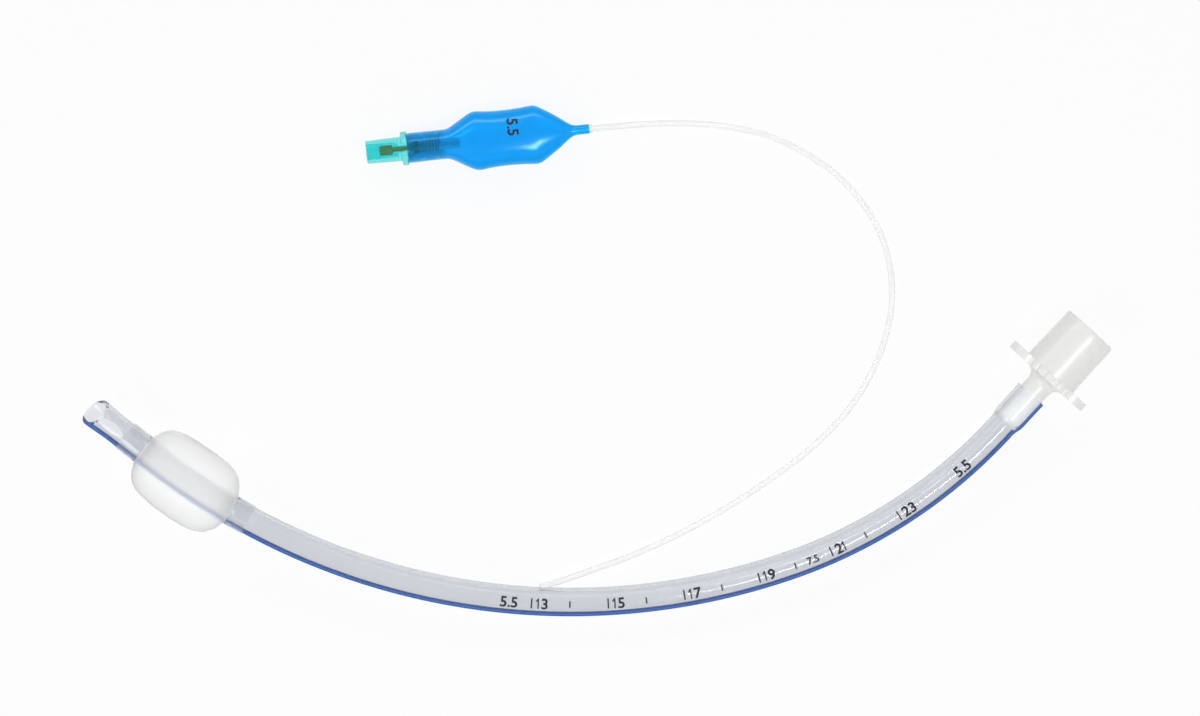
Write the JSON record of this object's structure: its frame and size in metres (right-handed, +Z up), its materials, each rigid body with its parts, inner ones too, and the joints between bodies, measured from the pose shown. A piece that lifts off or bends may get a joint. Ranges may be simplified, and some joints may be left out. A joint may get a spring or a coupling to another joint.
{
  "type": "cuffed endotracheal tube",
  "caption": "Curved clear breathing tube with an inflated cuff, a bevelled tip with a side eye, a conical connector, and a pilot balloon with a spring valve on a thin line.",
  "frame": {"origin": "on the table, under the middle of the box round the shaft, the cuff and the connector", "axes": "+Z up from the table that the tube lies on; +X from the patient's end towards the machine's end; +Y towards the inner side of the bend, where the pilot balloon lies"},
  "size_m": [0.2672, 0.1337, 0.0212],
  "materials": {
    "clear_soft_plastic": "clear soft plastic tubing, glossy, slightly cool grey",
    "blue_strip": "opaque blue strip moulded into the wall",
    "frosted_film": "frosted translucent film",
    "milky_plastic": "milky translucent hard plastic, satin",
    "clear_line_plastic": "clear thin soft tube",
    "blue_film": "glossy bright blue translucent film",
    "clear_adhesive": "hardened clear adhesive",
    "teal_plastic": "transparent teal hard plastic",
    "clear_hard_plastic": "clear hard plastic",
    "brown_plastic": "opaque olive brown plastic",
    "green_rubber": "dark green rubber",
    "spring_steel": "bright drawn wire"
  },
  "bodies": {
    "tube_assembly": {"shaft": "clear_soft_plastic", "radiopaque_line": "blue_strip", "cuff": "frosted_film", "connector": "milky_plastic", "inflation_line": "clear_line_plastic", "pilot_balloon": "blue_film", "bond_bead": "clear_adhesive", "syringe_port": "teal_plastic", "valve_housing": "clear_hard_plastic", "valve_spring": "spring_steel"},
    "plunger": {"valve_plunger": "brown_plastic", "valve_seal": "green_rubber"}
  },
  "joints": [
    {"name": "valve_plunger_slide", "type": "slide", "parent": "tube_assembly", "child": "plunger", "axis": [0.9943, 0.1063, 0], "range_m": [0, 0.0012], "stiffness_N_per_m": 500, "springref_m": -0.001, "deforming": ["valve_spring"]}
  ]
}
